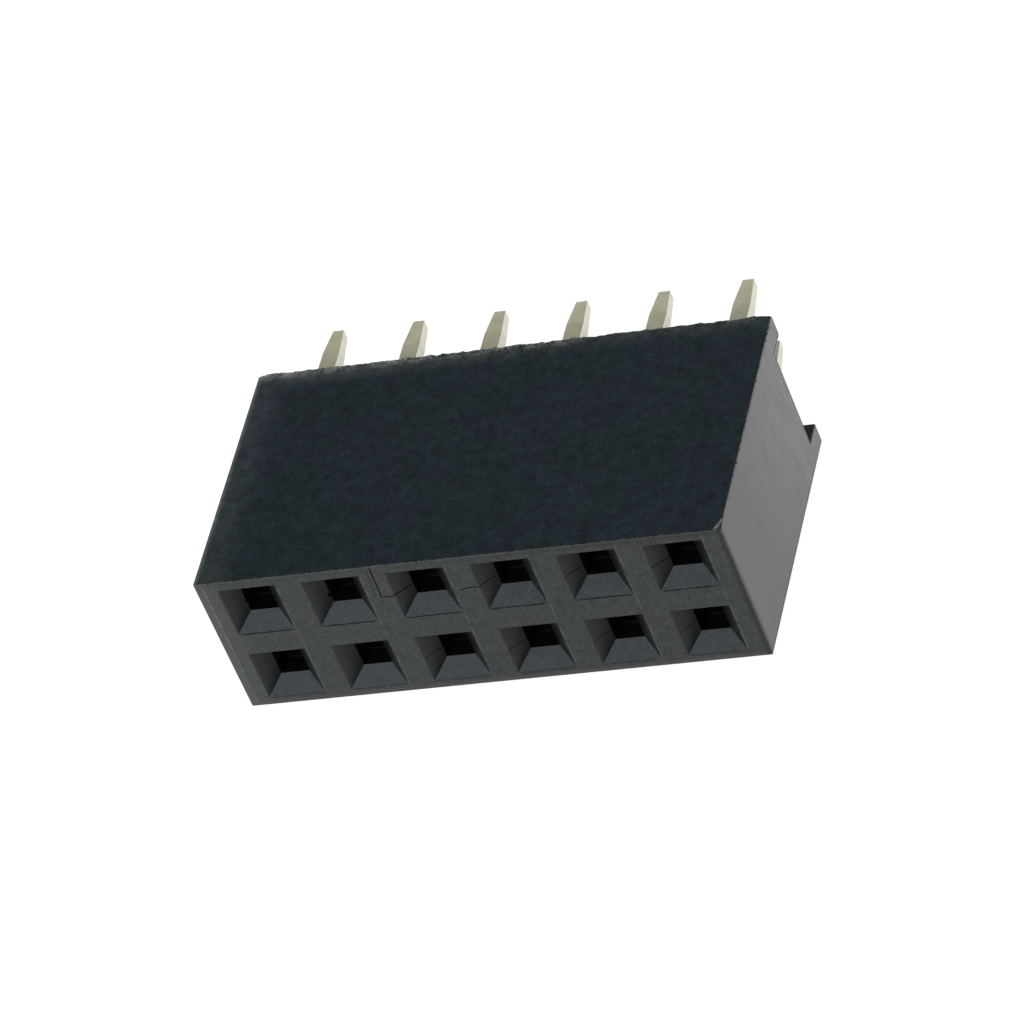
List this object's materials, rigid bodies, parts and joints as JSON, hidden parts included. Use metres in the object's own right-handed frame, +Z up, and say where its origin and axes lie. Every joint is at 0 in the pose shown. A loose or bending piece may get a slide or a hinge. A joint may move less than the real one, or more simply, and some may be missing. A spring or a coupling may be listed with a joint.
{
  "type": "socket header",
  "caption": "Straight socket header: black moulded block with a double row of square funnel sockets, standoff ribs and tapered solder tails.",
  "frame": {"origin": "middle of the underside, halfway between the mating face and the tail tips", "axes": "+X along the rows, from the first socket to the last; +Y from the mating face to the tails; +Z up, out of the upper long side, as the part lies on its other long side"},
  "size_m": [0.0158, 0.0114, 0.0049],
  "materials": {
    "housing_plastic": "moulded, satin, black with a faint blue-green cast",
    "contact_metal": "plated, semi-bright, pale straw"
  },
  "bodies": {
    "root": {"housing": "housing_plastic", "contact_a1": "contact_metal", "contact_a2": "contact_metal", "contact_a3": "contact_metal", "contact_a4": "contact_metal", "contact_a5": "contact_metal", "contact_a6": "contact_metal", "contact_b1": "contact_metal", "contact_b2": "contact_metal", "contact_b3": "contact_metal", "contact_b4": "contact_metal", "contact_b5": "contact_metal", "contact_b6": "contact_metal"}
  },
  "joints": []
}
